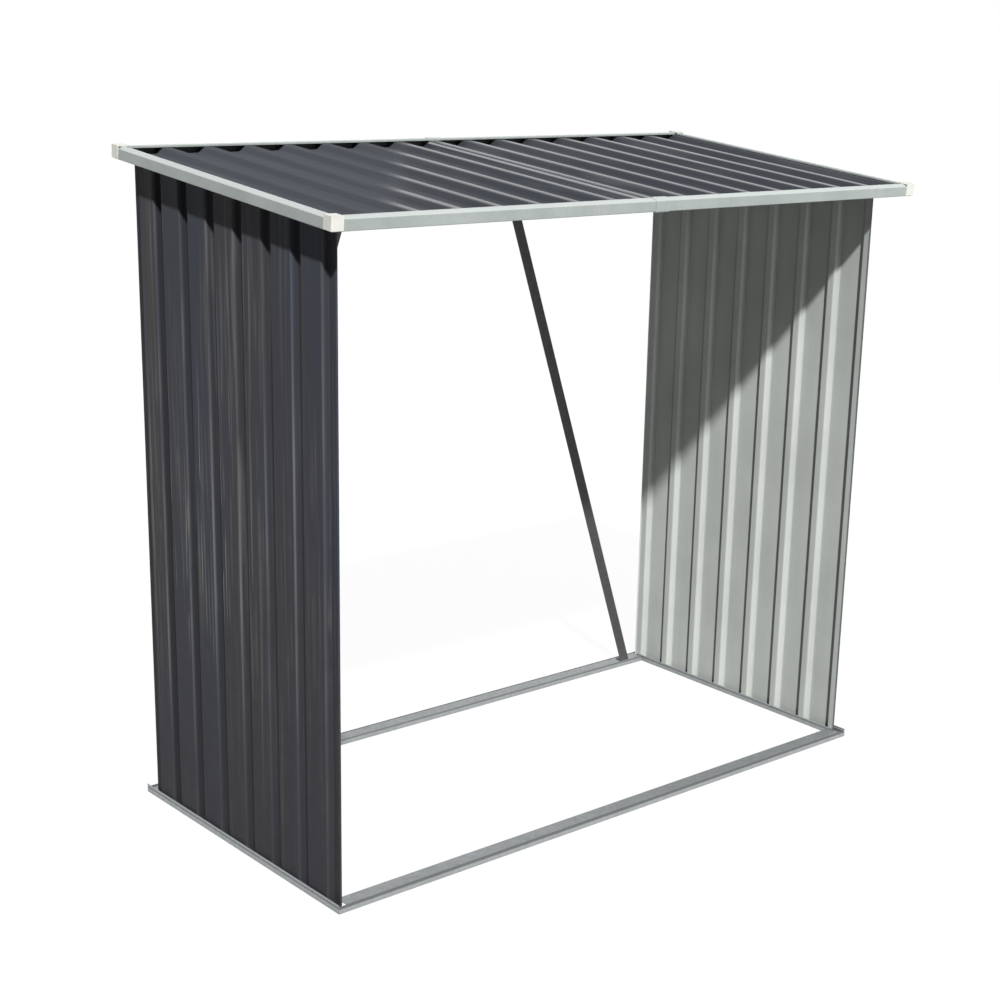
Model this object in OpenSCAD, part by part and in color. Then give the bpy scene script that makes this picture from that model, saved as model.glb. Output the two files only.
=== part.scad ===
// Open-fronted log store of ribbed sheet steel: two side walls on a floor frame,
// a lean-to roof that falls towards the front, and two braces across the back.
// Millimetres, +Z up, front towards -Y, origin on the ground under the middle.

/* [Overall] */
// Height of the roof's rear edge over the ground
total_h = 1540; // [1200:10:1900]
// Width of the floor frame
base_w = 1638; // [1400:2:1860]
// Depth of the floor frame
base_d = 810; // [740:2:930]
// Fall of the roof towards the front, in degrees
roof_slope = 5.2; // [3:0.1:8]
// Roof edge beyond the side walls
roof_side_overhang = 46; // [36:1:75]
// Roof edge in front of the side walls
roof_front_overhang = 76; // [40:1:100]
// Side walls showing behind the roof edge
roof_rear_inset = 12; // [2:0.5:16]

/* [Floor frame] */
// Floor frame showing beyond each side wall
base_side_margin = 5; // [4.5:0.5:10]
// Floor frame showing in front of the side walls
base_front_margin = 22; // [8:0.5:26]
// Floor frame showing behind the side walls
base_rear_margin = 16; // [8:0.5:24]
// Steel thickness of the floor rails
rail_t = 1.2; // [0.8:0.1:1.5]
// Height of the flat top of the front and rear rails
rail_h = 15; // [12:0.5:24]
// Width of the front and rear rails from the lip to the inner leg
rail_w = 42; // [36:1:60]
// Drop of the front and rear lips under the flat top
rail_lip_drop = 1.5; // [0:0.5:4]
// Width of the groove between the lip and the flat top
rail_groove_w = 4; // [3:0.5:6]
// Height of the outer lip of a side rail
side_lip_h = 21; // [17:0.5:30]
// Height of the inner flange of a side rail
side_flange_h = 18; // [10:0.5:30]
// Depth of the bead along a side rail's lip
lip_bead_d = 2; // [1:0.5:2.5]
// Width of the bead along a side rail's lip
lip_bead_w = 6; // [5:0.5:7]
// Radius of the bends in rails, beams and trims
fold_r = 1.8; // [1.6:0.1:2.4]

/* [Ribbed sheet] */
// Steel thickness of walls and roof
sheet_t = 0.8; // [0.5:0.1:1.2]
// Height of a rib
rib_h = 14; // [9:0.5:17]
// Flat width on top of a rib of the roof
rib_top_w = 24; // [16:1:34]
// Plan width of a rib's slanted flank
rib_flank_w = 8; // [4:0.5:12]
// Ribs from edge to edge of a roof sheet, first and last included
roof_ribs = 9; // [6:1:12]
// Ribs from edge to edge of a side wall, first and last included
wall_ribs = 8; // [6:1:10]
// Radius of the bends in the ribbed sheet
bend_r = 2.5; // [1:0.5:3.5]
// Flat width on top of a rib of a side wall
wall_rib_top_w = 20; // [16:1:34]
// Flat width along a wall's upright edge
wall_end_w = 22; // [18:1:40]
// Width of the fold along a wall's upright edge
wall_fold_w = 4; // [4:0.5:8]

/* [Roof edge] */
// Steel thickness of the edge trim
trim_t = 1.2; // [0.8:0.1:2]
// Height of the edge trim
trim_h = 28; // [24:0.5:40]
// Width of the bevel along the top of the trim
trim_bevel_w = 12; // [6:0.5:13]
// Drop of the bevel along the top of the trim
trim_bevel_h = 4.5; // [2:0.5:8]
// Width of the trim over the roof sheet
trim_cover_w = 20; // [14:0.5:30]
// Drop of the hem on the trim's inner edge
trim_hem_h = 5; // [3:0.5:6]
// Width of the trim's bottom lip
trim_lip_w = 8; // [4:0.5:10]
// Half the overlap where two lengths of trim meet
trim_lap = 20; // [10:1:40]
// Length of a corner cap along each edge
cap_len = 28; // [26:1:50]
// Trim showing under a corner cap
cap_rise = 2; // [0:0.5:4]
// Wall thickness of a corner cap
cap_t = 2; // [1.5:0.1:3]
// Rounding of a corner cap's upright edge
cap_r = 3; // [1:0.5:5]

/* [Roof frame] */
// Steel thickness of beams and wall plates
beam_t = 1.2; // [0.8:0.1:2]
// Height of the front and rear beams
beam_h = 22; // [16:1:40]
// Width of a beam's flange under the roof
beam_flange_w = 25; // [16:1:40]
// Width of a beam's bottom fold
beam_fold_w = 12; // [8:1:24]
// Front beam set back from the walls' front edges
beam_setback = 10; // [4:1:30]
// Depth of the upright leg of a wall plate
plate_leg_h = 22; // [16:1:40]

/* [Braces] */
// Width of a brace
brace_w = 30; // [20:1:40]
// Thickness of a brace
brace_t = 2; // [1.5:0.1:4]
// Distance of a brace's upper end from the middle
brace_head_x = 220; // [150:2:400]
// Distance of a brace's lower end from the side wall
brace_foot_gap = 68; // [40:1:120]
// Length of the tab bent at a brace's lower end
brace_tab_w = 20; // [12:1:28]

/* [Hidden] */

// Gap between two pieces that are screwed together
seat = 0.2;
// How far a cut runs past what it cuts
overrun = 50;
// Straight steps in each bend of a folded sheet
bend_steps = 2;
// Steps along a true round
round_fn = 48;

// Floor frame, from the roof's front edge back to the rear lip
total_d = base_d - base_front_margin + roof_front_overhang;
base_rear_y = total_d / 2;
base_front_y = base_rear_y - base_d;
rail_lip_h = rail_h - rail_lip_drop;
rail_web_u = 2 * rail_t + rail_groove_w;
side_channel_w = base_side_margin + rib_h + sheet_t + seat + rail_t;
side_end_cut = max(base_front_margin, base_rear_margin) + sheet_t + seat;
lip_bead_share = 0.62;

// Side walls
wall_x = base_w / 2 - base_side_margin;
wall_inner_x = wall_x - rib_h;
wall_front_y = base_front_y + base_front_margin;
wall_rear_y = base_rear_y - base_rear_margin;
wall_foot_z = rail_t + seat;
wall_edge_w = wall_end_w - wall_rib_top_w / 2;

// Roof plane, given by the upper side of the trim
roof_w = 2 * (wall_x + roof_side_overhang);
roof_d = wall_rear_y - wall_front_y + roof_front_overhang - roof_rear_inset;
trim_inset = cap_t + seat;
roof_front_y = trim_inset * sin(roof_slope) - total_d / 2;
roof_rear_y = roof_front_y + roof_d;
roof_len = roof_d / cos(roof_slope);
roof_front_z = total_h - roof_d * tan(roof_slope) - trim_inset * cos(roof_slope);

// Depths under the roof plane
lap_drop = trim_hem_h + seat;
crest_drop = lap_drop + sheet_t + seat;
pan_drop = crest_drop + rib_h;
frame_drop = pan_drop + sheet_t + seat;
wall_top_drop = trim_h + seat;

// Ribs of the roof
rib_edge_w = trim_cover_w;
roof_pitch = (roof_w - 2 * rib_edge_w) / (2 * (roof_ribs - 1));
sheet_end_gap = trim_inset + trim_t + seat;

// Lengths of the edge trims
trim_len_x = roof_w - 2 * trim_inset;
trim_len_y = roof_len - 2 * trim_inset;

// Roof frame
plate_x = wall_inner_x - sheet_t - seat;
beam_half = plate_x - beam_t - seat;
front_beam_y = wall_front_y + beam_setback;
rear_beam_y = roof_rear_y - trim_inset - trim_lip_w - trim_t;

// Braces
brace_y = rear_beam_y + seat;
brace_foot_x = wall_inner_x - brace_foot_gap;
brace_foot_z = rail_h + seat;
brace_head_z = roof_height(rear_beam_y, frame_drop + beam_h / 2);

// Height of a surface that lies a given depth under the roof plane
function roof_height(y, depth) =
    roof_front_z + (y - roof_front_y) * tan(roof_slope) - depth / cos(roof_slope);

// Outlines of folded sheet
function unit(v) = v / norm(v);
function turned(v, a) = [v[0] * cos(a) - v[1] * sin(a), v[0] * sin(a) + v[1] * cos(a)];
function left_of(v) = [-v[1], v[0]];

// Arc that replaces the corner b of the path a, b, c
function bend(a, b, c, r) =
    let (u = unit(b - a))
    let (v = unit(c - b))
    let (side = sign(cross(u, v)))
    let (angle = acos(u * v))
    let (start = b - u * r * tan(angle / 2))
    let (hub = start + side * r * left_of(u))
    [for (k = [0 : bend_steps]) hub + turned(start - hub, side * angle * k / bend_steps)];

// Path with its corners bent to radius r
function bent(p, r) = [
    for (i = [0 : len(p) - 1])
        each (i == 0 || i == len(p) - 1) ? [p[i]] : bend(p[i - 1], p[i], p[i + 1], r)
];

// Path moved sideways by t, to the left of its direction
function moved(p, t) = [
    for (i = [0 : len(p) - 1])
        let (j = max(i, 1))
        let (k = min(i, len(p) - 2))
        let (m = left_of(unit(p[j] - p[j - 1])))
        let (n = left_of(unit(p[k + 1] - p[k])))
        p[i] + t * (m + n) / (1 + m * n)
];
function backwards(p) = [for (i = [len(p) - 1 : -1 : 0]) p[i]];

// Closed outline of a sheet of thickness t to the left of a path
function folded(p, t) = concat(p, backwards(moved(p, t)));

// Extrude an outline drawn in Y, Z along X
module along_x(x0, x1) {
    translate([x0, 0, 0])
        rotate([90, 0, 90])
            linear_extrude(x1 - x0)
                children();
}

// Extrude an outline drawn in X, Z along Y
module along_y(y0, y1) {
    translate([0, y1, 0])
        rotate([90, 0, 0])
            linear_extrude(y1 - y0)
                children();
}

// Mirror a right-hand piece to the left
module left_hand() {
    mirror([1, 0, 0])
        children();
}

// Place a piece drawn on the roof plane: Y runs up the slope from the front edge
module on_roof() {
    translate([0, roof_front_y, roof_front_z])
        rotate([roof_slope, 0, 0])
            children();
}

// Plan of a straight piece with both ends cut at 45 degrees
module mitred_plan(half, depth) {
    polygon([
        [-half + seat, 0],
        [half - seat, 0],
        [half - depth - seat, depth],
        [-half + depth + seat, depth]
    ]);
}

// Plan of a floor rail: lip ends cut at 45 degrees, the rest cut square by end_cut
module rail_plan(length, depth, end_cut) {
    half = length / 2;
    polygon([
        [-half + seat, 0],
        [half - seat, 0],
        [half - rail_web_u - seat, rail_web_u],
        [half - end_cut, rail_web_u],
        [half - end_cut, depth],
        [-half + end_cut, depth],
        [-half + end_cut, rail_web_u],
        [-half + rail_web_u + seat, rail_web_u]
    ]);
}

// Folded floor rail along X with its lip at y = 0
module floor_rail(path, length, depth, end_cut) {
    intersection() {
        along_x(-length / 2, length / 2)
            polygon(folded(bent(path, fold_r), rail_t));
        translate([0, 0, -overrun])
            linear_extrude(rail_h + side_lip_h + 2 * overrun)
                rail_plan(length, depth, end_cut);
    }
}

// Front or rear rail: lip, groove, flat top and inner leg
module cross_rail() {
    top_z = rail_h - rail_t;
    path = [
        [0, rail_lip_h],
        [0, 0],
        [rail_web_u, 0],
        [rail_web_u, top_z],
        [rail_w, top_z],
        [rail_w, 0]
    ];
    end_cut = base_side_margin + rib_h + wall_fold_w + seat;
    floor_rail(path, base_w, rail_w + rail_t, end_cut);
}

// Side rail: beaded lip, floor under the wall and inner flange
module side_rail() {
    bead_z = side_lip_h * lip_bead_share;
    path = [
        [0, side_lip_h],
        [0, bead_z + lip_bead_w / 2],
        [lip_bead_d, bead_z],
        [0, bead_z - lip_bead_w / 2],
        [0, 0],
        [side_channel_w, 0],
        [side_channel_w, side_flange_h]
    ];
    floor_rail(path, base_d, side_channel_w, side_end_cut);
}

module base_front_rail() {
    color("silver")
        translate([0, base_front_y, 0])
            cross_rail();
}

module base_rear_rail() {
    color("silver")
        translate([0, base_rear_y, 0])
            rotate([0, 0, 180])
                cross_rail();
}

module base_right_rail() {
    color("silver")
        translate([base_w / 2, (base_front_y + base_rear_y) / 2, 0])
            rotate([0, 0, 90])
                side_rail();
}

module base_left_rail() {
    left_hand()
        base_right_rail();
}

// Plan of the right wall: ribs pressed inwards, edges folded inwards
function wall_plan() =
    let (y0 = wall_front_y + wall_edge_w)
    let (pitch = (wall_rear_y - wall_front_y - 2 * wall_edge_w) / (wall_ribs - 1))
    let (top = wall_rib_top_w / 2)
    let (foot = top + rib_flank_w)
    concat(
        [[wall_inner_x - wall_fold_w, wall_front_y], [wall_inner_x, wall_front_y]],
        [for (i = [0 : wall_ribs - 1])
            let (y = y0 + i * pitch)
            each concat(
                i == 0 ? [] : [[wall_x, y - foot], [wall_inner_x, y - top]],
                i == wall_ribs - 1 ? [] : [[wall_inner_x, y + top], [wall_x, y + foot]]
            )],
        [[wall_inner_x, wall_rear_y], [wall_inner_x - wall_fold_w, wall_rear_y]]
    );

module right_wall() {
    top_front = roof_height(wall_front_y, wall_top_drop);
    top_rear = roof_height(wall_rear_y, wall_top_drop);
    color("dimgray")
        intersection() {
            linear_extrude(total_h)
                polygon(folded(bent(wall_plan(), bend_r), sheet_t));
            along_x(wall_inner_x - overrun, wall_x + overrun)
                polygon([
                    [wall_front_y - overrun, wall_foot_z],
                    [wall_rear_y + overrun, wall_foot_z],
                    [wall_rear_y, top_rear],
                    [wall_front_y, top_front]
                ]);
        }
}

module left_wall() {
    left_hand()
        right_wall();
}

// Angle along the top of the right wall: upright leg inside, flat leg out to the trim
module right_wall_plate() {
    trim_face_x = roof_w / 2 - trim_inset - trim_t - seat;
    leg_x = plate_x - beam_t;
    path = [
        [leg_x, -frame_drop - plate_leg_h],
        [leg_x, -frame_drop],
        [trim_face_x, -frame_drop]
    ];
    start = (wall_front_y - roof_front_y) / cos(roof_slope);
    end = (rear_beam_y - roof_front_y) / cos(roof_slope);
    color("silver")
        on_roof()
            along_y(start, end)
                polygon(folded(bent(path, fold_r), -beam_t));
}

module left_wall_plate() {
    left_hand()
        right_wall_plate();
}

// Channel under the roof; its flanges point to the side that facing gives
module roof_beam(y, facing) {
    top_z = roof_height(y, frame_drop);
    rise = facing * beam_flange_w * tan(roof_slope);
    path = [
        [y + facing * beam_fold_w, top_z - beam_h],
        [y, top_z - beam_h],
        [y, top_z],
        [y + facing * beam_flange_w, top_z + rise]
    ];
    color("silver")
        along_x(-beam_half, beam_half)
            polygon(folded(bent(path, fold_r), -facing * beam_t));
}

module front_beam() {
    roof_beam(front_beam_y, 1);
}

module rear_beam() {
    roof_beam(rear_beam_y, -1);
}

// Flat bar from the rear floor rail up to the rear beam: round head, foot bent back on to the rail
module right_brace() {
    run = brace_foot_x - brace_head_x;
    rise = brace_head_z - brace_foot_z;
    tilt = atan(run / rise);
    length = norm([run, rise]);
    foot_w = brace_w / cos(tilt);
    color("darkgray")
        translate([brace_foot_x, brace_y, brace_foot_z]) {
            intersection() {
                rotate([0, -tilt, 0])
                    along_y(0, brace_t) {
                        translate([-brace_w / 2, -overrun])
                            square([brace_w, length + overrun]);
                        translate([0, length])
                            circle(d = brace_w, $fn = round_fn);
                    }
                translate([-base_w, -overrun, 0])
                    cube([2 * base_w, 2 * overrun, total_h]);
            }
            translate([-foot_w / 2, 0, 0])
                cube([foot_w, brace_tab_w, brace_t]);
        }
}

module left_brace() {
    left_hand()
        right_brace();
}

// Outline of the roof sheet that runs to the right from the rib over the middle
function rib_run(first_drop) =
    let (top = rib_top_w / 2)
    let (foot = top + rib_flank_w)
    concat(
        [[-top, -first_drop], [top, -first_drop], [foot, -pan_drop]],
        [for (i = [1 : roof_ribs - 1])
            let (x = i * roof_pitch)
            each concat(
                [[x - foot, -pan_drop], [x - top, -crest_drop]],
                i == roof_ribs - 1 ? [[x + top, -crest_drop]] : [[x + top, -crest_drop], [x + foot, -pan_drop]]
            )]
    );

module roof_sheet(first_drop) {
    color("slategray")
        on_roof()
            along_y(sheet_end_gap, roof_len - sheet_end_gap)
                polygon(folded(bent(rib_run(first_drop), bend_r), -sheet_t));
}

// The right sheet laps over the middle rib of the left one
module roof_sheet_right() {
    roof_sheet(lap_drop);
}

module roof_sheet_left() {
    left_hand()
        roof_sheet(crest_drop);
}

// Outline of the edge trim: lip, face, bevel, cover and hem; Y points into the roof
function trim_path() = bent([
    [trim_lip_w, -trim_h],
    [0, -trim_h],
    [0, -trim_bevel_h],
    [trim_bevel_w, 0],
    [trim_cover_w, 0],
    [trim_cover_w, -trim_hem_h]
], fold_r);

// Trim along X with the ends cut at 45 degrees, its face at y = 0
module trim(length) {
    intersection() {
        along_x(-length / 2, length / 2)
            polygon(folded(trim_path(), -trim_t));
        translate([0, 0, -trim_h - overrun])
            linear_extrude(trim_h + 2 * overrun)
                mitred_plan(length / 2, trim_cover_w);
    }
}

// Half of a long trim, kept on the +X or the -X side of the joint
module half_trim(length, side, joint) {
    intersection() {
        trim(length);
        translate([side > 0 ? joint : joint - length, -overrun, -trim_h - overrun])
            cube([length, trim_cover_w + 2 * overrun, trim_h + 2 * overrun]);
    }
}

// Widened end of a half trim that slips over its neighbour
module trim_sleeve(x0, x1) {
    outer = moved(trim_path(), seat + trim_t);
    along_x(x0, x1)
        polygon(folded(outer, -trim_t));
    along_x(x0 - trim_t, x0)
        polygon(folded(outer, -2 * trim_t - seat));
}

// Left half of a long trim, with the sleeve over the joint
module sleeved_half(length) {
    half_trim(length, -1, -trim_lap);
    trim_sleeve(-trim_lap, trim_lap);
}

// Right half, slipped into the sleeve
module plain_half(length) {
    half_trim(length, 1, -trim_lap + seat);
}

module at_front_edge() {
    on_roof()
        translate([0, trim_inset, 0])
            children();
}

module at_rear_edge() {
    on_roof()
        translate([0, roof_len - trim_inset, 0])
            rotate([0, 0, 180])
                children();
}

module front_trim_left() {
    color("lightgray")
        at_front_edge()
            sleeved_half(trim_len_x);
}

module front_trim_right() {
    color("lightgray")
        at_front_edge()
            plain_half(trim_len_x);
}

module rear_trim_left() {
    color("lightgray")
        at_rear_edge()
            plain_half(trim_len_x);
}

module rear_trim_right() {
    color("lightgray")
        at_rear_edge()
            sleeved_half(trim_len_x);
}

module right_trim() {
    color("lightgray")
        on_roof()
            translate([roof_w / 2 - trim_inset, roof_len / 2, 0])
                rotate([0, 0, 90])
                    trim(trim_len_y);
}

module left_trim() {
    left_hand()
        right_trim();
}

// Corner cap with its corner at the origin, reaching along +X and +Y
module corner_cap() {
    drop = trim_h - cap_rise;
    translate([0, 0, -drop])
        difference() {
            linear_extrude(drop + trim_inset)
                union() {
                    translate([cap_r, cap_r])
                        circle(r = cap_r, $fn = round_fn);
                    translate([cap_r, 0])
                        square([cap_len - cap_r, cap_len]);
                    translate([0, cap_r])
                        square([cap_len, cap_len - cap_r]);
                }
            translate([cap_t, cap_t, -overrun])
                cube([cap_len + overrun, cap_len + overrun, drop + overrun + seat]);
        }
}

module cap_at(x_side, at_rear) {
    color("ivory")
        on_roof()
            mirror([x_side > 0 ? 1 : 0, 0, 0])
                translate([-roof_w / 2, at_rear ? roof_len : 0, 0])
                    mirror([0, at_rear ? 1 : 0, 0])
                        corner_cap();
}

module front_left_cap() {
    cap_at(-1, false);
}

module front_right_cap() {
    cap_at(1, false);
}

module rear_left_cap() {
    cap_at(-1, true);
}

module rear_right_cap() {
    cap_at(1, true);
}

base_front_rail();
base_rear_rail();
base_left_rail();
base_right_rail();
left_wall();
right_wall();
left_wall_plate();
right_wall_plate();
front_beam();
rear_beam();
left_brace();
right_brace();
roof_sheet_left();
roof_sheet_right();
front_trim_left();
front_trim_right();
rear_trim_left();
rear_trim_right();
left_trim();
right_trim();
front_left_cap();
front_right_cap();
rear_left_cap();
rear_right_cap();
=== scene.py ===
import math

import bmesh
import bpy
from mathutils import Matrix, Vector


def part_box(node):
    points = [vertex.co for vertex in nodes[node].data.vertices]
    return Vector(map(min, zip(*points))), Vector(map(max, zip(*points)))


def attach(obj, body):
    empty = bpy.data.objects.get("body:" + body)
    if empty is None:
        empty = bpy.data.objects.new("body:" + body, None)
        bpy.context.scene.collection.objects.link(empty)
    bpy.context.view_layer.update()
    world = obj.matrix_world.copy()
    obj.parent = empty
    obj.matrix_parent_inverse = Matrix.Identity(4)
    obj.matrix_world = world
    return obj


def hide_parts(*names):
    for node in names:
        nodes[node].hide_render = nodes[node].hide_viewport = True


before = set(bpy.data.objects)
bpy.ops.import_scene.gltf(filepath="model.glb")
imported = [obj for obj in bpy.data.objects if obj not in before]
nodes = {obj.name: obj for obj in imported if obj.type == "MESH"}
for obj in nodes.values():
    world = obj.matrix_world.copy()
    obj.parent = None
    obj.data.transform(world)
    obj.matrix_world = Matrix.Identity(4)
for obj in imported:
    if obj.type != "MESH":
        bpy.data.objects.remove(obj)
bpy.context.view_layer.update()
scene = bpy.context.scene
scene.view_settings.view_transform = "Standard"
print("frame loaded:", len(nodes), "nodes")


# small helpers for node trees
def put(tree, kind, **values):
    node = tree.nodes.new("ShaderNode" + kind)
    for name, value in values.items():
        setattr(node, name, value)
    return node


def wire(tree, source, target):
    tree.links.new(source, target)


def calc(tree, operation, a, b=None):
    node = put(tree, "Math", operation=operation)
    for socket, value in zip(node.inputs, (a, b)):
        if value is None:
            continue
        if isinstance(value, (int, float)):
            socket.default_value = value
        else:
            wire(tree, value, socket)
    return node.outputs[0]


def product(tree, first, *others):
    for other in others:
        first = calc(tree, "MULTIPLY", first, other)
    return first


def largest(tree, first, *others):
    for other in others:
        first = calc(tree, "MAXIMUM", first, other)
    return first


def blend(tree, share, a, b):
    node = put(tree, "Mix", data_type="RGBA")
    wire(tree, share, node.inputs[0])
    for socket, value in ((node.inputs[6], a), (node.inputs[7], b)):
        if isinstance(value, tuple):
            socket.default_value = (*value, 1)
        else:
            wire(tree, value, socket)
    return node.outputs[2]


def remap(tree, value, low, high, toLow, toHigh):
    node = put(tree, "MapRange")
    wire(tree, value, node.inputs["Value"])
    node.inputs["From Min"].default_value = low
    node.inputs["From Max"].default_value = high
    node.inputs["To Min"].default_value = toLow
    node.inputs["To Max"].default_value = toHigh
    return node.outputs["Result"]


def band(tree, value, middle, full, gone, strength):
    # strength up to full away from the middle, fading to 0 at gone
    away = calc(tree, "ABSOLUTE", calc(tree, "SUBTRACT", value, middle))
    return remap(tree, away, full, gone, strength, 0)


def noise(tree, vector, scale, detail, rough=0.5):
    node = put(tree, "TexNoise")
    wire(tree, vector, node.inputs["Vector"])
    node.inputs["Scale"].default_value = scale
    node.inputs["Detail"].default_value = detail
    node.inputs["Roughness"].default_value = rough
    return node.outputs["Fac"]


def stretched(tree, vector, scale):
    node = put(tree, "Mapping")
    wire(tree, vector, node.inputs["Vector"])
    node.inputs["Scale"].default_value = scale
    return node.outputs["Vector"]


def drawnNoise(tree, vector, stretch, scale, detail):
    return noise(tree, stretched(tree, vector, stretch), scale, detail)


def axesOf(tree, vector):
    split = put(tree, "SeparateXYZ")
    wire(tree, vector, split.inputs[0])
    return split.outputs["X"], split.outputs["Y"], split.outputs["Z"]


def facing(tree):
    return axesOf(tree, put(tree, "NewGeometry").outputs["Normal"])


# camera, light and floor
studio = {
    "cameraPlace": (-2.796338, -3.260879, 1.825551),
    "cameraRight": (0.74779467, -0.66329664, 0.02899482),
    "cameraUp": (0.16709773, 0.23029092, 0.95866805),
    "lens": 65.515,
    "sensor": 36.0,
    "shift": (-0.0696, 0.0569),
    "keyAim": (0.597, 0.88, -1.0),  # from behind the viewer's shoulder, downwards
    "keyPower": 4.4,
    "keySoftness": 2.5,
    "skyColour": (0.93, 0.97, 1.0),
    "skyLight": 0.055,
    "floorHalf": 60,
    "floorDrop": 0.0005,
    "floorColour": (0.22, 0.22, 0.217),
    "floorGlow": 0.8,
    "floorWhite": 1.20,
}
softLamps = {
    "fill": {"place": (0.55, -4.6, 1.7), "aim": (0.1, 0, 0.9), "size": (0.9, 2.2), "power": 58},
    "back": {"place": (3.4, 4.2, 1.5), "aim": (0, 0, 0.8), "size": (3.4, 2.4), "power": 150},
}


def makeCamera():
    right = Vector(studio["cameraRight"]).normalized()
    up = Vector(studio["cameraUp"])
    back = right.cross(up).normalized()
    up = back.cross(right)
    data = bpy.data.cameras.new("camera")
    data.lens = studio["lens"]
    data.sensor_width = studio["sensor"]
    data.shift_x, data.shift_y = studio["shift"]
    camera = bpy.data.objects.new("camera", data)
    turn = Matrix((right, up, back)).transposed().to_4x4()
    camera.matrix_world = Matrix.Translation(studio["cameraPlace"]) @ turn
    scene.collection.objects.link(camera)
    scene.camera = camera


def standLamp(name, lamp, place, direction):
    stand = bpy.data.objects.new(name, lamp)
    stand.location = place
    stand.rotation_mode = "QUATERNION"
    stand.rotation_quaternion = direction.to_track_quat("-Z", "Y")
    scene.collection.objects.link(stand)
    return stand


def makeLamps():
    sun = bpy.data.lights.new("key", "SUN")
    sun.energy = studio["keyPower"]
    sun.angle = math.radians(studio["keySoftness"])
    standLamp("key", sun, (0, 0, 0), Vector(studio["keyAim"]))
    for name, soft in softLamps.items():
        panel = bpy.data.lights.new(name, "AREA")
        panel.shape = "RECTANGLE"
        panel.size, panel.size_y = soft["size"]
        panel.energy = soft["power"]
        towards = Vector(soft["aim"]) - Vector(soft["place"])
        stand = standLamp(name, panel, soft["place"], towards)
        stand.visible_glossy = False  # only the plain backdrop mirrors in the sheet


def seenDirectly(tree):
    # 1 where the eye, a mirror or glass looks, 0 where light is only gathered
    path = put(tree, "LightPath").outputs
    return largest(
        tree, path["Is Camera Ray"], path["Is Glossy Ray"], path["Is Transmission Ray"],
    )


def mixShaders(tree, share, a, b, out):
    mix = put(tree, "MixShader")
    for source, socket in zip((share, a.outputs[0], b.outputs[0]), mix.inputs):
        wire(tree, source, socket)
    wire(tree, mix.outputs[0], out.inputs["Surface"])


def makeSky():
    world = bpy.data.worlds.new("studio")
    scene.world = world
    world.use_nodes = True
    tree = world.node_tree
    tree.nodes.clear()
    sky = put(tree, "Background")
    sky.inputs["Color"].default_value = (*studio["skyColour"], 1)
    sky.inputs["Strength"].default_value = studio["skyLight"]
    white = put(tree, "Background")
    white.inputs["Color"].default_value = (1, 1, 1, 1)
    white.inputs["Strength"].default_value = 1.0
    mixShaders(tree, seenDirectly(tree), sky, white, put(tree, "OutputWorld"))


def makeFloor():
    bm = bmesh.new()
    bmesh.ops.create_grid(bm, x_segments=1, y_segments=1, size=studio["floorHalf"])
    mesh = bpy.data.meshes.new("floor")
    bm.to_mesh(mesh)
    bm.free()
    floor = bpy.data.objects.new("floor", mesh)
    floor.location.z = -studio["floorDrop"]
    scene.collection.objects.link(floor)
    mat = bpy.data.materials.new("paleFloor")
    mat.use_nodes = True
    tree = mat.node_tree
    tree.nodes.clear()
    matt = put(tree, "BsdfDiffuse")
    matt.inputs["Color"].default_value = (*studio["floorColour"], 1)
    glow = put(tree, "Emission")
    glow.inputs["Strength"].default_value = studio["floorWhite"]
    share = product(tree, seenDirectly(tree), studio["floorGlow"])
    mixShaders(tree, share, matt, glow, put(tree, "OutputMaterial"))
    mesh.materials.append(mat)


makeCamera()
makeLamps()
makeSky()
makeFloor()
print("studio ready")


# the tables of finishes hold:
# ramps, as from, to, value at from, value at to
# bands, as middle, half width, distance where it is gone, strength
# noises, as stretch, scale, detail


def startGroup(name, inputs, outputs):
    group = bpy.data.node_groups.new(name, "ShaderNodeTree")
    for label, kind, value in inputs:
        socket = group.interface.new_socket(label, in_out="INPUT", socket_type=kind)
        if value is not None:
            socket.default_value = value
    for label in outputs:
        group.interface.new_socket(label, in_out="OUTPUT", socket_type="NodeSocketFloat")
    given = group.nodes.new("NodeGroupInput").outputs
    return group, given, group.nodes.new("NodeGroupOutput").inputs


# marks that rain leaves: narrow streaks down the sheet, broken up by larger patches
rainStreaks = {
    "fineNoise": ((1, 1, 0.03), 90, 2),
    "fineRamp": (0.5, 0.72, 0, 1),
    "broadNoise": ((1, 1, 0.2), 7, 3),
    "broadRamp": (0.4, 0.65, 0, 1),
}


def makeStreaks():
    group, given, out = startGroup(
        "rainStreaks", [("Vector", "NodeSocketVector", None)], ["Mask"],
    )
    fine = drawnNoise(group, given["Vector"], *rainStreaks["fineNoise"])
    broad = drawnNoise(group, given["Vector"], *rainStreaks["broadNoise"])
    lines = remap(group, fine, *rainStreaks["fineRamp"])
    patches = remap(group, broad, *rainStreaks["broadRamp"])
    wire(group, product(group, lines, patches), out["Mask"])
    return group


# frost flowers of hot-dip zinc
zincSpangle = {
    "cellScale": 120.0,
    "cloudScale": 9,
    "cloudDetail": 4,
}


def makeSpangle():
    group, given, out = startGroup(
        "zincSpangle", [("Vector", "NodeSocketVector", None)], ["Mask", "Cloud"],
    )
    cells = put(group, "TexVoronoi")
    wire(group, given["Vector"], cells.inputs["Vector"])
    cells.inputs["Scale"].default_value = zincSpangle["cellScale"]
    split = put(group, "SeparateColor")
    wire(group, cells.outputs["Color"], split.inputs[0])
    wire(group, split.outputs[0], out["Mask"])
    cloud = noise(group, given["Vector"], zincSpangle["cloudScale"], zincSpangle["cloudDetail"])
    wire(group, cloud, out["Cloud"])
    return group


# splashes and dust near the ground
groundSplash = {
    "height": 0.2,
    "patchScale": 30,
    "patchDetail": 5,
    "patchRough": 0.6,
    "patchBias": 0.75,
    "ramp": (0, 0.8, 0, 1),
}


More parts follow.
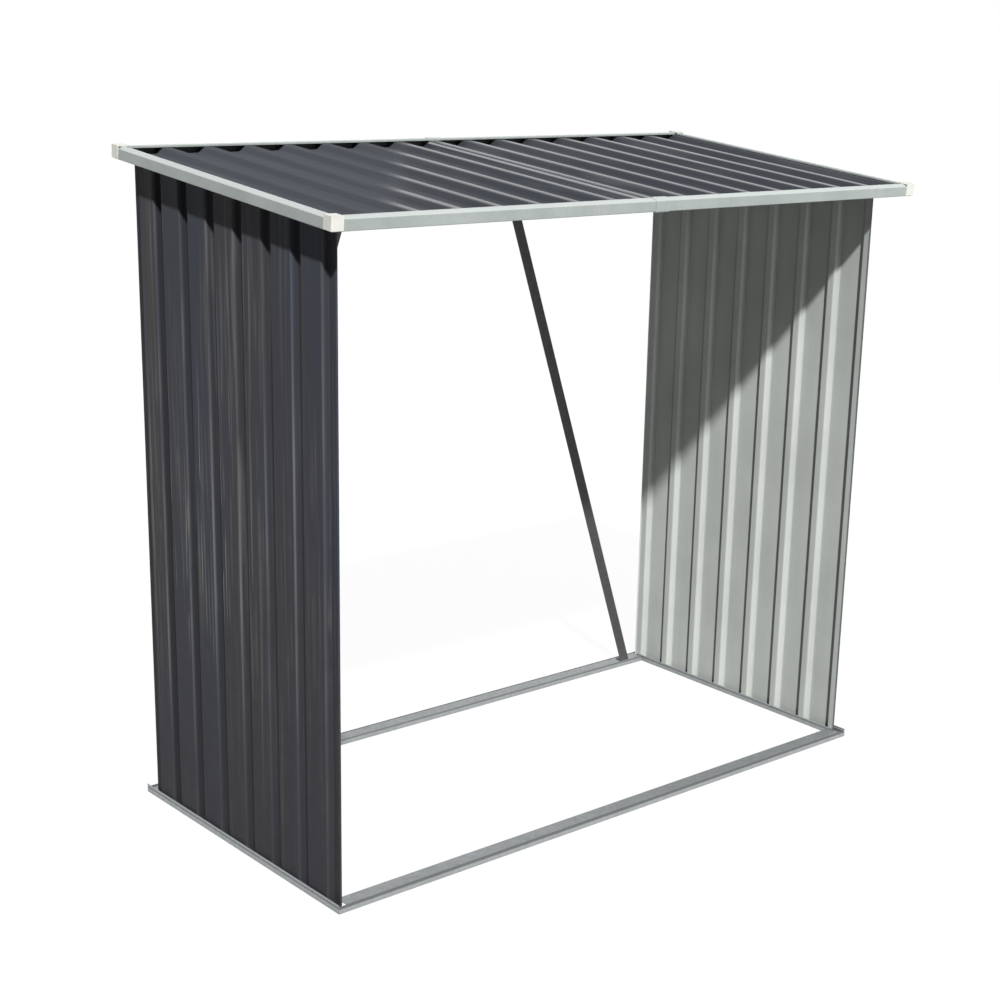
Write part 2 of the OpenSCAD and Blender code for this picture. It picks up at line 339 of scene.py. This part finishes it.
def makeSplash():
    s = groundSplash
    group, given, out = startGroup(
        "groundSplash",
        [("Vector", "NodeSocketVector", None), ("Height", "NodeSocketFloat", s["height"])],
        ["Mask"],
    )
    z = axesOf(group, given["Vector"])[2]
    fade = calc(group, "SUBTRACT", 1.0, calc(group, "DIVIDE", z, given["Height"]))
    patches = noise(group, given["Vector"], s["patchScale"], s["patchDetail"], s["patchRough"])
    ragged = calc(group, "ADD", fade, calc(group, "SUBTRACT", patches, s["patchBias"]))
    wire(group, remap(group, ragged, *s["ramp"]), out["Mask"])
    return group


# unevenness of rolled sheet: long shallow waves and the skin of the paint
sheetRipple = {
    "waveScale": 5,
    "skinScale": 900,
    "detail": 2,
    "skin": 0.15,
}


def makeRipple():
    r = sheetRipple
    group, given, out = startGroup(
        "sheetRipple",
        [("Vector", "NodeSocketVector", None), ("Skin", "NodeSocketFloat", r["skin"])],
        ["Height"],
    )
    waves = noise(group, given["Vector"], r["waveScale"], r["detail"])
    skin = noise(group, given["Vector"], r["skinScale"], r["detail"])
    height = calc(group, "ADD", waves, product(group, skin, given["Skin"]))
    wire(group, height, out["Height"])
    return group


effects = {
    "streaks": makeStreaks(),
    "spangle": makeSpangle(),
    "splash": makeSplash(),
    "ripple": makeRipple(),
}


def use(tree, effect, vector, **values):
    node = tree.nodes.new("ShaderNodeGroup")
    node.node_tree = effects[effect]
    wire(tree, vector, node.inputs["Vector"])
    for name, value in values.items():
        node.inputs[name].default_value = value
    return node.outputs


def startMaterial(name):
    mat = bpy.data.materials.new(name)
    mat.use_nodes = True
    tree = mat.node_tree
    tree.nodes.clear()
    shader = put(tree, "BsdfPrincipled")
    out = put(tree, "OutputMaterial")
    wire(tree, shader.outputs[0], out.inputs["Surface"])
    place = put(tree, "TexCoord").outputs["Object"]
    return mat, tree, shader.inputs, place


def addBump(tree, shader, height, distance, strength=1.0):
    bump = put(tree, "Bump")
    bump.inputs["Strength"].default_value = strength
    bump.inputs["Distance"].default_value = distance
    wire(tree, height, bump.inputs["Height"])
    wire(tree, bump.outputs["Normal"], shader["Normal"])


# dark weather side of the walls, with painted shade in the grooves and painted highlights on the
# bends and beside the edges
wallCoat = {
    "dark": (0.058, 0.056, 0.065),
    "cool": (0.053, 0.060, 0.077),
    "cloudNoise": ((1, 2.5, 0.25), 4, 4),
    "coolRamp": (0.35, 0.65, 0, 1),
    "warm": (0.068, 0.062, 0.058),
    "warmNoise": ((1, 14, 0.3), 3, 3),
    "warmRamp": (0.52, 0.70, 0, 0.8),
    "streak": (0.17, 0.165, 0.155),
    "streakShare": 0.8,
    "foot": (0.0425, 0.0415, 0.048),
    "footHeight": 1.1,
    "footShare": 0.75,
    "scratch": (0.24, 0.235, 0.225),
    "scratchNoise": ((1, 1, 0.008), 150, 1),
    "scratchRamp": (0.57, 0.68, 0, 1),
    "brokenNoise": ((1, 6, 1), 6, 2),
    "brokenRamp": (0.42, 0.55, 0, 1),
    "scratchMiddle": (0.78, 0.10, 0.38, 1),
    "scratchRear": (-0.15, 0.08, 0.25, 1),
    # painted shade for the wall's grooves and the line near its rear edge
    "paintedShade": (0.021, 0.022, 0.024),
    "grooveDeep": (0.8120, 0.8060, 0, 1),
    "grooveAlong": (-0.15, 0.35, 0.4, 0.85),
    "grooveFront": (-0.338, -0.330, 0.25, 1),
    "rearShadeLine": (0.379, 0.004, 0.008, 0.85),
    # painted highlight on the wide faces' front bends and beside the upright edges
    "wearAndHighlight": (0.15, 0.15, 0.155),
    "bendProud": (0.8095, 0.8115, 0, 1),
    "bendTurned": (-0.12, -0.40, 0, 1),
    "frontRimHighlight": (-0.343, 0.0008, 0.0030, 0.6),
    "rearRimHighlight": (0.365, 0.001, 0.005, 0.5),
    "highlightNoise": ((1, 9, 0.6), 2.5, 3),
    "wearAndHighlightRamp": (0.40, 0.65, 0.1, 1),
    "highlightLow": (0.15, 0.50, 0.1, 1),
    "highlightHigh": (1.05, 1.25, 1, 0.4),
    "roughRamp": (0.3, 0.7, 0.36, 0.46),
    "gloss": 0.03,
    "ripple": 0.0010,
}


def paintedGrooveShade(tree, place):
    # painted shade: 0 on a wall's wide faces, most at the bottom of its grooves, and more of it
    # towards the back, plus a painted shade line near the rear edge
    x, y = axesOf(tree, place)[:2]
    deep = remap(tree, calc(tree, "ABSOLUTE", x), *wallCoat["grooveDeep"])
    along = remap(tree, y, *wallCoat["grooveAlong"])
    front = remap(tree, y, *wallCoat["grooveFront"])
    return largest(tree, product(tree, deep, along, front), band(tree, y, *wallCoat["rearShadeLine"]))


def paintedBendHighlight(tree, place):
    # painted highlight along the front bend of each wide face, and painted highlight lines beside
    # the two upright edges
    x, y, z = axesOf(tree, place)
    proud = remap(tree, calc(tree, "ABSOLUTE", x), *wallCoat["bendProud"])
    turned = remap(tree, facing(tree)[1], *wallCoat["bendTurned"])
    frontRimHighlight = band(tree, y, *wallCoat["frontRimHighlight"])
    rearRimHighlight = band(tree, y, *wallCoat["rearRimHighlight"])
    wearAndHighlight = largest(tree, product(tree, proud, turned), frontRimHighlight, rearRimHighlight)
    patch = remap(tree, drawnNoise(tree, place, *wallCoat["highlightNoise"]), *wallCoat["wearAndHighlightRamp"])
    low = remap(tree, z, *wallCoat["highlightLow"])
    high = remap(tree, z, *wallCoat["highlightHigh"])
    return product(tree, wearAndHighlight, patch, low, high)


def scratches(tree, place):
    # light rubbed lines, most of them half way up and towards the back
    y, z = axesOf(tree, place)[1:]
    lines = drawnNoise(tree, place, *wallCoat["scratchNoise"])
    lines = remap(tree, lines, *wallCoat["scratchRamp"])
    broken = drawnNoise(tree, place, *wallCoat["brokenNoise"])
    broken = remap(tree, broken, *wallCoat["brokenRamp"])
    middle = band(tree, z, *wallCoat["scratchMiddle"])
    rear = remap(tree, y, *wallCoat["scratchRear"])
    return product(tree, lines, broken, middle, rear)


def wallMaterial():
    mat, tree, shader, place = startMaterial("wallCoat")
    cloud = drawnNoise(tree, place, *wallCoat["cloudNoise"])
    cool = remap(tree, cloud, *wallCoat["coolRamp"])
    colour = blend(tree, cool, wallCoat["dark"], wallCoat["cool"])
    warm = remap(tree, drawnNoise(tree, place, *wallCoat["warmNoise"]), *wallCoat["warmRamp"])
    streaks = product(tree, use(tree, "streaks", place)["Mask"], wallCoat["streakShare"])
    splash = use(tree, "splash", place, Height=wallCoat["footHeight"])["Mask"]
    for mask, tint in (
        (warm, "warm"),
        (streaks, "streak"),
        (product(tree, splash, wallCoat["footShare"]), "foot"),
        (scratches(tree, place), "scratch"),
        # painted shade in the grooves
        (paintedGrooveShade(tree, place), "paintedShade"),
        # painted highlight on the bends and edges
        (paintedBendHighlight(tree, place), "wearAndHighlight"),
    ):
        colour = blend(tree, mask, colour, wallCoat[tint])
    wire(tree, colour, shader["Base Color"])
    wire(tree, remap(tree, cloud, *wallCoat["roughRamp"]), shader["Roughness"])
    shader["Specular IOR Level"].default_value = wallCoat["gloss"]
    addBump(tree, shader, use(tree, "ripple", place)["Height"], wallCoat["ripple"])
    return mat


# dark weather side of the roof: dull at its left end, polished on the ribs, with a painted
# highlight along the ribs' right-hand bends and beside the lap
roofCoat = {
    "fall": 0.091,
    "dark": (0.046, 0.049, 0.058),
    "cool": (0.038, 0.043, 0.052),
    "cloudNoise": ((1, 0.3, 1), 4, 4),
    "coolRamp": (0.35, 0.65, 0, 1),
    "dusty": (0.068, 0.075, 0.086),
    "dustSkew": 0.776,
    "dustRamp": (-0.45, -0.36, 0, 1),
    "streak": (0.105, 0.110, 0.120),
    "streakFall": (1, 0.03, 1),
    "streakShare": 0.7,
    # painted highlight along the ribs' right-hand bends and beside the lap
    "wearAndHighlight": (0.80, 0.82, 0.87),
    "highlightLevel": (1.4860, 1.4900, 0, 1),
    "highlightTurned": (0.06, 0.20, 0, 1),
    "lapHighlight": (-0.0140, 0.0006, 0.0018, 0.38),
    "ribPitch": 0.105,
    "polishLevel": (1.4932, 1.4942, 0, 1),
    "polishSide": (0.45, 0.48, 0, 1),
    "polish": 0.27,
    "roughRamp": (0.3, 0.7, 0.36, 0.46),
    "dullRough": (0, 1, 0.95, 0.1),
    "gloss": 0.15,
    "ripple": 0.0010,
    "skin": 0.01,
}


def roofLevel(tree, y, z):
    # height above the roof's fall, the same from front to rear
    return calc(tree, "SUBTRACT", z, product(tree, y, roofCoat["fall"]))


def sheenReach(tree, place):
    # 0 where the roof has gone dull at its left end, 1 where it still shines; it also sets where
    # the ribs get their painted highlight
    x, y = axesOf(tree, place)[:2]
    across = calc(tree, "SUBTRACT", x, product(tree, y, roofCoat["dustSkew"]))
    return remap(tree, across, *roofCoat["dustRamp"])


def onCrest(tree, place):
    # 1 on the right-hand part of the ribs' flat tops, where the coat is polished
    x, y, z = axesOf(tree, place)
    crest = remap(tree, roofLevel(tree, y, z), *roofCoat["polishLevel"])
    ribs = calc(tree, "ADD", calc(tree, "DIVIDE", x, roofCoat["ribPitch"]), 0.5)
    side = remap(tree, calc(tree, "FRACT", ribs), *roofCoat["polishSide"])
    return product(tree, crest, side)


def crestHighlight(tree, place):
    # painted highlight along the ribs' right-hand bend, and beside the lap of the two sheets
    x, y, z = axesOf(tree, place)
    crest = remap(tree, roofLevel(tree, y, z), *roofCoat["highlightLevel"])
    turned = remap(tree, facing(tree)[0], *roofCoat["highlightTurned"])
    return product(tree, crest, largest(tree, turned, band(tree, x, *roofCoat["lapHighlight"])))


def roofMaterial():
    mat, tree, shader, place = startMaterial("roofCoat")
    cloud = drawnNoise(tree, place, *roofCoat["cloudNoise"])
    cool = remap(tree, cloud, *roofCoat["coolRamp"])
    colour = blend(tree, cool, roofCoat["dark"], roofCoat["cool"])
    shine = sheenReach(tree, place)
    colour = blend(tree, shine, roofCoat["dusty"], colour)
    downhill = stretched(tree, place, roofCoat["streakFall"])
    streaks = product(tree, use(tree, "streaks", downhill)["Mask"], roofCoat["streakShare"])
    colour = blend(tree, streaks, colour, roofCoat["streak"])
    # painted highlight on the ribs, where the roof still shines
    colour = blend(tree, product(tree, crestHighlight(tree, place), shine), colour, roofCoat["wearAndHighlight"])
    wire(tree, colour, shader["Base Color"])
    polish = product(tree, onCrest(tree, place), shine, roofCoat["polish"])
    rough = calc(tree, "SUBTRACT", remap(tree, cloud, *roofCoat["roughRamp"]), polish)
    rough = largest(tree, rough, remap(tree, shine, *roofCoat["dullRough"]))
    wire(tree, rough, shader["Roughness"])
    shader["Specular IOR Level"].default_value = roofCoat["gloss"]
    ripple = use(tree, "ripple", place, Skin=roofCoat["skin"])["Height"]
    addBump(tree, shader, ripple, roofCoat["ripple"])
    return mat


# pale back of the sheets, with painted shade on the ribs' rear sides, under the roof and in the
# corner behind each rib
paleBack = {
    "clean": (0.50, 0.525, 0.50),
    "dull": (0.40, 0.42, 0.395),
    "cloudScale": 5,
    "cloudDetail": 4,
    "cloudRamp": (0.4, 0.7, 0, 0.6),
    "streakShare": 0.3,
    # painted shade for the ribs' rear sides, the top under the roof and behind each rib
    "paintedShade": (0.16, 0.165, 0.155),
    "rearSides": (0.15, 0.5, 0, 0.75),
    "underRoof": (1.02, 1.42, 0, 0.36),
    "firstRibY": -0.344,
    "ribPitch": 0.10686,
    "behindRib": (0.215, 0.034, 0.060, 0.55),
    "outerFlat": (0.8070, 0.8110, 0, 1),
    "roughRamp": (0.3, 0.7, 0.42, 0.55),
    "gloss": 0.3,
    "ripple": 0.0010,
}


def paintedRibShade(tree, place):
    # painted shade on the rear sides of the ribs, under the roof and in the corner behind each
    # rib
    x, y, z = axesOf(tree, place)
    rear = remap(tree, facing(tree)[1], *paleBack["rearSides"])
    under = remap(tree, z, *paleBack["underRoof"])
    ribs = calc(tree, "SUBTRACT", y, paleBack["firstRibY"])
    turn = calc(tree, "FRACT", calc(tree, "DIVIDE", ribs, paleBack["ribPitch"]))
    flat = remap(tree, calc(tree, "ABSOLUTE", x), *paleBack["outerFlat"])
    corner = product(tree, band(tree, turn, *paleBack["behindRib"]), flat)
    return largest(tree, rear, under, corner)


def paleMaterial():
    mat, tree, shader, place = startMaterial("paleBack")
    streaks = product(tree, use(tree, "streaks", place)["Mask"], paleBack["streakShare"])
    cloud = noise(tree, place, paleBack["cloudScale"], paleBack["cloudDetail"])
    dull = calc(tree, "ADD", remap(tree, cloud, *paleBack["cloudRamp"]), streaks)
    colour = blend(tree, dull, paleBack["clean"], paleBack["dull"])
    # painted shade
    colour = blend(tree, paintedRibShade(tree, place), colour, paleBack["paintedShade"])
    wire(tree, colour, shader["Base Color"])
    wire(tree, remap(tree, cloud, *paleBack["roughRamp"]), shader["Roughness"])
    shader["Specular IOR Level"].default_value = paleBack["gloss"]
    addBump(tree, shader, use(tree, "ripple", place)["Height"], paleBack["ripple"])
    return mat


# zinc-coated steel of the floor rails, the roof frame and the braces
zincSteel = {
    "bright": (0.42, 0.447, 0.46),
    "dull": (0.31, 0.332, 0.347),
    # the braces' zinc: dull, and painted darker to stand in for shade
    "dullShaded": (0.105, 0.108, 0.105),
    "dullShadedDeep": (0.055, 0.058, 0.057),
    "cellShare": 0.45,
    "cloudShare": 0.5,
    "dirt": (0.23, 0.215, 0.19),
    "dirtHeight": 0.03,
    "dirtShare": 0.35,
    # painted shade line in the groove behind the rails' lip
    "grooveShadeLine": (0.10, 0.105, 0.11),
    "grooveShadeBand": (0.013, 0.0012, 0.0030, 0.75),
    "roughRamp": (0, 1, 0.38, 0.55),
    "metallic": 0.35,
    "relief": 0.0001,
    "reliefShare": 0.4,
}


def zincMaterial(name, bright, dull, onGround=False):
    mat, tree, shader, place = startMaterial(name)
    spangle = use(tree, "spangle", place)
    cells = product(tree, spangle["Mask"], zincSteel["cellShare"])
    clouds = product(tree, spangle["Cloud"], zincSteel["cloudShare"])
    tone = calc(tree, "ADD", cells, clouds)
    colour = blend(tree, tone, zincSteel[bright], zincSteel[dull])
    if onGround:
        splash = use(tree, "splash", place, Height=zincSteel["dirtHeight"])["Mask"]
        dirt = product(tree, splash, zincSteel["dirtShare"])
        colour = blend(tree, dirt, colour, zincSteel["dirt"])
        # painted shade in the groove at the height of the lip's top
        grooveShadeLine = band(tree, axesOf(tree, place)[2], *zincSteel["grooveShadeBand"])
        colour = blend(tree, grooveShadeLine, colour, zincSteel["grooveShadeLine"])
    wire(tree, colour, shader["Base Color"])
    wire(tree, remap(tree, spangle["Mask"], *zincSteel["roughRamp"]), shader["Roughness"])
    shader["Metallic"].default_value = zincSteel["metallic"]
    addBump(tree, shader, spangle["Mask"], zincSteel["relief"], zincSteel["reliefShare"])
    return mat


# pale edge trim, with painted light on the faces that look upwards and painted shade on the inner
# faces under its hem
edgeTrim = {
    "colour": (0.325, 0.36, 0.345),
    "wearAndHighlight": (0.40, 0.435, 0.42),
    "cloudScale": 11,
    "cloudDetail": 4,
    "cloudShare": 0.7,
    "fineScale": 160,
    "fineDetail": 3,
    "fineShare": 0.3,
    "wearAndHighlightRamp": (0.35, 0.65, 0, 1),
    # painted light on the faces that look upwards
    "upper": (0.56, 0.595, 0.575),
    "upperRamp": (0.25, 0.6, 0, 0.6),
    # painted shade, near black, on the inner faces under the hem
    "inside": (0.012, 0.013, 0.013),
    "insideRamp": (-0.3, -0.6, 0, 1),
    "hemRamp": (1.4962, 1.4950, 0, 1),
    "roughRamp": (0.3, 0.7, 0.38, 0.5),
    "ripple": 0.0006,
}


def facesInwards(tree, place):
    # 1 on the faces of an edge trim that look towards the middle of the roof, under its hem,
    # where the trim is painted near black as shade
    x, y, z = axesOf(tree, place)
    masks = []
    for spot, normal in zip((x, y), facing(tree)):
        towards = product(tree, calc(tree, "SIGN", spot), normal)
        masks.append(remap(tree, towards, *edgeTrim["insideRamp"]))
    under = remap(tree, roofLevel(tree, y, z), *edgeTrim["hemRamp"])
    return product(tree, largest(tree, *masks), under)


def trimMaterial():
    mat, tree, shader, place = startMaterial("trimCoat")
    cloud = noise(tree, place, edgeTrim["cloudScale"], edgeTrim["cloudDetail"])
    fine = noise(tree, place, edgeTrim["fineScale"], edgeTrim["fineDetail"])
    broad = product(tree, cloud, edgeTrim["cloudShare"])
    tone = calc(tree, "ADD", broad, product(tree, fine, edgeTrim["fineShare"]))
    wearAndHighlight = remap(tree, tone, *edgeTrim["wearAndHighlightRamp"])
    colour = blend(tree, wearAndHighlight, edgeTrim["colour"], edgeTrim["wearAndHighlight"])
    # painted light on the upward faces
    upper = remap(tree, facing(tree)[2], *edgeTrim["upperRamp"])
    colour = blend(tree, upper, colour, edgeTrim["upper"])
    # painted shade on the inner faces under the hem
    colour = blend(tree, facesInwards(tree, place), colour, edgeTrim["inside"])
    wire(tree, colour, shader["Base Color"])
    wire(tree, remap(tree, fine, *edgeTrim["roughRamp"]), shader["Roughness"])
    addBump(tree, shader, use(tree, "ripple", place)["Height"], edgeTrim["ripple"])
    return mat


# cream moulded plastic of the corner caps
cornerCap = {
    "colour": (0.75, 0.75, 0.70),
    "yellowed": (0.70, 0.695, 0.62),
    "cloudScale": 45,
    "cloudDetail": 3,
    "yellowRamp": (0.4, 0.7, 0, 1),
    "grainScale": 1400,
    "grainDetail": 2,
    "roughRamp": (0.3, 0.7, 0.42, 0.55),
    "relief": 0.0001,
    "reliefShare": 0.5,
}


def capMaterial():
    mat, tree, shader, place = startMaterial("capPlastic")
    cloud = noise(tree, place, cornerCap["cloudScale"], cornerCap["cloudDetail"])
    grain = noise(tree, place, cornerCap["grainScale"], cornerCap["grainDetail"])
    yellow = remap(tree, cloud, *cornerCap["yellowRamp"])
    colour = blend(tree, yellow, cornerCap["colour"], cornerCap["yellowed"])
    wire(tree, colour, shader["Base Color"])
    wire(tree, remap(tree, grain, *cornerCap["roughRamp"]), shader["Roughness"])
    addBump(tree, shader, grain, cornerCap["relief"], cornerCap["reliefShare"])
    return mat


finishes = {
    "wall": wallMaterial(),
    "roof": roofMaterial(),
    "pale": paleMaterial(),
    "rail": zincMaterial("railZinc", "bright", "dull", onGround=True),
    "zinc": zincMaterial("frameZinc", "bright", "dull"),
    "dullShaded": zincMaterial("dullShadedZinc", "dullShaded", "dullShadedDeep"),
    "trim": trimMaterial(),
    "cap": capMaterial(),
}
print("finishes ready:", len(finishes))


def finishOf(name):
    if name.endswith("_wall"):
        return "wall"
    if name.startswith("roof_sheet"):
        return "roof"
    if name.startswith("base_"):
        return "rail"
    if "_trim" in name:
        return "trim"
    if name.endswith("_cap"):
        return "cap"
    # the braces get the dull zinc painted darker as shade
    if name.endswith("_brace"):
        return "dullShaded"
    return "zinc"


for name, node in nodes.items():
    for slot in node.material_slots:
        slot.material = finishes[finishOf(name)]
print("finishes given to the nodes")


# ribbed sheet, bent from a flat blank
ribbedSheet = {
    "thickness": 0.0007,
    "bendRadius": 0.0042,
    "bendShare": 0.4,
    "bendSteps": 6,
    "besideBend": 0.0014,
    "longFlat": 0.03,
    "flatSteps": 6,
    "sharpAngle": 35,
}


def roundCorners(points):
    # bends a path of straight runs, with a close point on each side of every bend
    steps, beside = ribbedSheet["bendSteps"], ribbedSheet["besideBend"]
    path = [points[0]]
    for before, corner, after in zip(points, points[1:], points[2:]):
        into = (corner - before).normalized()
        away = (after - corner).normalized()
        turn = math.copysign(1, into.cross(away))
        angle = into.angle(away)
        half = math.tan(angle / 2)
        run = min((corner - before).length, (after - corner).length)
        radius = min(ribbedSheet["bendRadius"], ribbedSheet["bendShare"] * run / half)
        reach = radius * half
        start = corner - into * reach
        hub = start + Vector((-into.y, into.x)) * radius * turn
        path.append(start - into * beside)
        for step in range(steps + 1):
            path.append(hub + Matrix.Rotation(turn * angle * step / steps, 2) @ (start - hub))
        path.append(corner + away * (reach + beside))
    path.append(points[-1])
    return path


def addBelly(path, depth):
    # long flats of thin sheet are never quite flat: they sag by depth to the right of the path
    steps = ribbedSheet["flatSteps"]
    result = [path[0]]
    for a, b in zip(path, path[1:]):
        run = b - a
        if run.length > ribbedSheet["longFlat"]:
            side = Vector((run.y, -run.x)).normalized()
            for step in range(1, steps):
                share = step / steps
                result.append(a + run * share + side * depth * 4 * share * (1 - share))
        result.append(b)
    return result


def bendSheet(points, belly, outward, place):
    path = addBelly(roundCorners([Vector(point) for point in points]), belly)
    bm = bmesh.new()
    columns = len(path) - 1
    bmesh.ops.create_grid(bm, x_segments=columns, y_segments=1, size=1)
    for vert in bm.verts:
        vert.co = place(path[round((vert.co.x + 1) / 2 * columns)], (vert.co.y + 1) / 2)
    bm.normal_update()
    weather = bm.faces[:]
    if sum(face.normal.dot(outward) * face.calc_area() for face in weather) < 0:
        bmesh.ops.reverse_faces(bm, faces=weather)
    bmesh.ops.solidify(bm, geom=weather, thickness=ribbedSheet["thickness"])
    known = set(weather)
    for face in bm.faces:
        face.material_index = 0 if face in known else 1
    return bm


def finishPiece(bm, name, node, coats):
    mesh = bpy.data.meshes.new(name)
    for face in bm.faces:
        face.smooth = True
    bm.to_mesh(mesh)
    bm.free()
    mesh.set_sharp_from_angle(angle=math.radians(ribbedSheet["sharpAngle"]))
    for coat in coats:
        mesh.materials.append(finishes[coat])
    piece = bpy.data.objects.new(name, mesh)
    scene.collection.objects.link(piece)
    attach(piece, "root")
    if node:
        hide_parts(node)


# the lean-to roof plane that sheets and walls run up to
roofPlane = {
    "slope": math.radians(5.2),
    "depth": 0.836,
    "frontY": -0.4318,
    "rearZ": 1.540,
    "capOver": 0.0022,
}
roofRise, roofRun = math.sin(roofPlane["slope"]), math.cos(roofPlane["slope"])
roofFall = roofRise / roofRun
roofFrontZ = roofPlane["rearZ"] - roofPlane["depth"] * roofFall - roofPlane["capOver"] * roofRun


def underRoof(y, drop):
    return roofFrontZ + (y - roofPlane["frontY"]) * roofFall - drop / roofRun


sideWall = {
    "outerX": 0.814,
    "ribDepth": 0.014,
    "frontY": -0.356,
    "rearY": 0.416,
    "endFlat": 0.022,
    "ribTop": 0.020,
    "flank": 0.008,
    "fold": 0.004,
    "ribs": 8,
    "footZ": 0.0014,
    "topDrop": 0.0282,
    "belly": 0.0006,
}


def wallPoints():
    w = sideWall
    outer, inner = w["outerX"], w["outerX"] - w["ribDepth"]
    top, foot = w["ribTop"] / 2, w["ribTop"] / 2 + w["flank"]
    first = w["frontY"] + w["endFlat"] - top
    gaps = w["ribs"] - 1
    pitch = (w["rearY"] - w["frontY"] - 2 * w["endFlat"] + w["ribTop"]) / gaps
    points = [(inner - w["fold"], w["frontY"]), (inner, w["frontY"])]
    for gap in range(gaps):
        here, there = first + gap * pitch, first + (gap + 1) * pitch
        points += [(inner, here + top), (outer, here + foot)]
        points += [(outer, there - foot), (inner, there - top)]
    points += [(inner, w["rearY"]), (inner - w["fold"], w["rearY"])]
    return points


def makeWall(side, name):
    footZ = sideWall["footZ"]

    def place(spot, share):
        top = underRoof(spot.y, sideWall["topDrop"])
        return Vector((side * spot.x, spot.y, footZ + share * (top - footZ)))

    bm = bendSheet(wallPoints(), -sideWall["belly"], Vector((side, 0, 0)), place)
    finishPiece(bm, name.replace("_wall", "WallSheet"), name, ("wall", "pale"))


roofSheet = {
    "ribs": 9,
    "pitch": 0.105,
    "ribTop": 0.024,
    "flank": 0.008,
    "lapDrop": 0.0052,
    "crestDrop": 0.0062,
    "panDrop": 0.0202,
    "endGap": 0.0036,
    "belly": 0.0010,
}


def roofPoints(firstDrop):
    r = roofSheet
    pan, crest = -r["panDrop"], -r["crestDrop"]
    top, foot = r["ribTop"] / 2, r["ribTop"] / 2 + r["flank"]
    points = [(-top, -firstDrop), (top, -firstDrop), (foot, pan)]
    for rib in range(1, r["ribs"]):
        x = rib * r["pitch"]
        points += [(x - foot, pan), (x - top, crest), (x + top, crest)]
        if rib < r["ribs"] - 1:
            points.append((x + foot, pan))
    return points


def makeRoofSheet(side, name, firstDrop):
    endGap = roofSheet["endGap"]
    length = roofPlane["depth"] / roofRun - 2 * endGap

    def place(spot, share):
        along = endGap + share * length
        y = roofPlane["frontY"] + along * roofRun - spot.y * roofRise
        z = roofFrontZ + along * roofRise + spot.y * roofRun
        return Vector((side * spot.x, y, z))

    bm = bendSheet(roofPoints(firstDrop), roofSheet["belly"], Vector((0, 0, 1)), place)
    finishPiece(bm, name.replace("roof_sheet", "roofSheet"), name, ("roof", "pale"))


makeWall(-1, "left_wall")
makeWall(1, "right_wall")
makeRoofSheet(-1, "roof_sheet_left", roofSheet["crestDrop"])
makeRoofSheet(1, "roof_sheet_right", roofSheet["lapDrop"])
print("ribbed sheets bent")

# bolts that hold the braces: hexagon head on a round washer
braceBolt = {
    "washerWide": 0.017,
    "washerThick": 0.0012,
    "washerSides": 32,
    "headWide": 0.0115,
    "headHigh": 0.0045,
    "headSides": 6,
    "bevelShare": 0.12,
    "bevelSteps": 2,
    "sharpOver": 0.6,
    "fromEnd": 0.015,
    "barThick": 0.002,
    "tabShare": 0.55,
    "bedded": 0.0002,
}


def addDisc(bm, at, wide, high, base, sides):
    part = bmesh.ops.create_cone(
        bm, cap_ends=True, segments=sides, radius1=wide / 2, radius2=wide / 2, depth=high,
        matrix=at @ Matrix.Translation((0, 0, base + high / 2 - braceBolt["bedded"])),
    )
    rims = {edge for vert in part["verts"] for edge in vert.link_edges}
    sharp = [edge for edge in rims if edge.calc_face_angle(0) > braceBolt["sharpOver"]]
    bmesh.ops.bevel(
        bm, geom=sharp, offset=high * braceBolt["bevelShare"], segments=braceBolt["bevelSteps"],
        affect="EDGES", profile=0.5, material=-1,
    )


def makeBolt(name, place, axis):
    b = braceBolt
    bm = bmesh.new()
    turn = Vector(axis).to_track_quat("Z", "Y").to_matrix().to_4x4()
    at = Matrix.Translation(place) @ turn
    addDisc(bm, at, b["washerWide"], b["washerThick"], 0.0, b["washerSides"])
    addDisc(bm, at, b["headWide"], b["headHigh"], b["washerThick"], b["headSides"])
    finishPiece(bm, name, None, ("zinc",))


for side, label in ((-1, "left"), (1, "right")):
    low, high = (Vector(corner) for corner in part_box(label + "_brace"))
    fromEnd, thick = braceBolt["fromEnd"], braceBolt["barThick"]
    headX = side * (min(abs(low.x), abs(high.x)) + fromEnd)
    footX = side * (max(abs(low.x), abs(high.x)) - fromEnd)
    tabY = low.y + (high.y - low.y) * braceBolt["tabShare"]
    makeBolt("braceBolt_head_" + label, (headX, low.y + thick, high.z - fromEnd), (0, 1, 0))
    makeBolt("braceBolt_foot_" + label, (footX, tabY, low.z + thick), (0, 0, 1))
print("brace bolts set")
